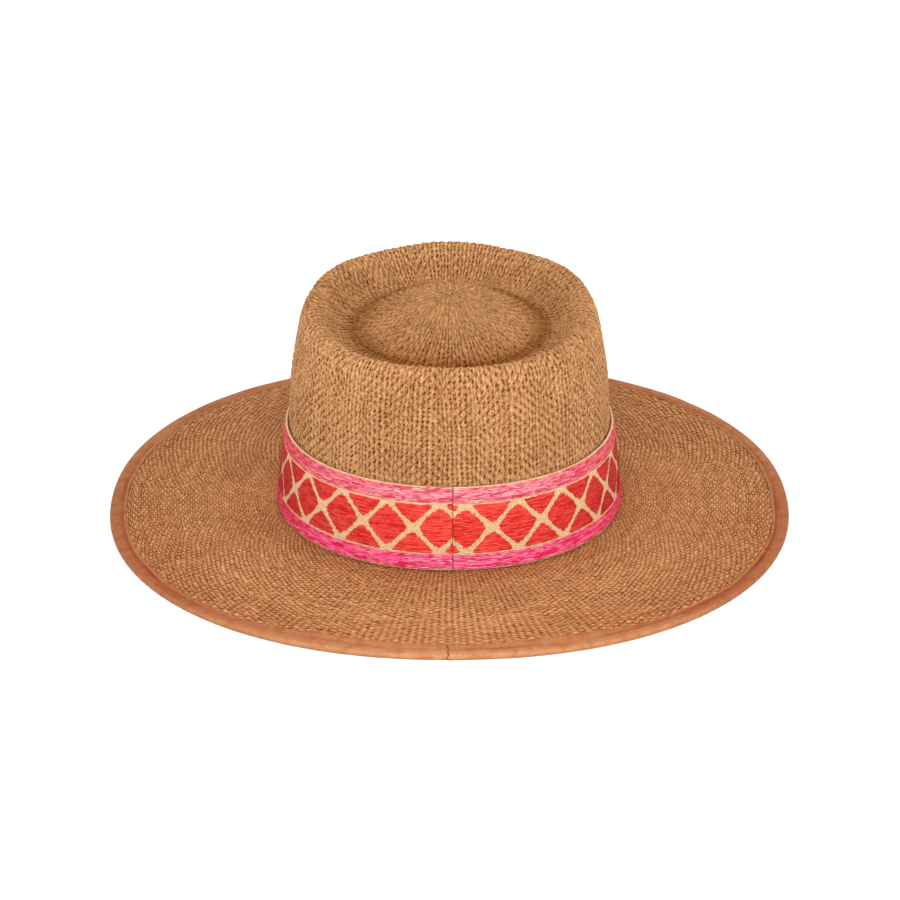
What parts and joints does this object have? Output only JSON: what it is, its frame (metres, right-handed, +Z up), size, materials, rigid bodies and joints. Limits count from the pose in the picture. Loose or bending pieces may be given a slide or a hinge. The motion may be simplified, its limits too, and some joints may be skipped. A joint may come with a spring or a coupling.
{
  "type": "woven straw fedora",
  "caption": "Wide-brimmed woven straw hat with a telescope crown pressed into a ridge and groove, a patterned ribbon band and a bound brim edge.",
  "frame": {"origin": "on the floor, under the middle of the brim", "axes": "+Z up, +Y to the front of the hat, where the crown stands highest; -Y is the back, where the band and the binding are joined"},
  "size_m": [0.3622, 0.3838, 0.1165],
  "materials": {
    "crown_straw": "woven paper straw, matt",
    "brim_straw": "woven paper straw, matt",
    "band_canvas": "beige canvas ribbon embroidered in red and pink",
    "binding_ribbon": "tan grosgrain ribbon with a slight sheen"
  },
  "bodies": {
    "root": {"crown": "crown_straw", "brim": "brim_straw", "hat_band": "band_canvas", "brim_binding": "binding_ribbon"}
  },
  "joints": []
}
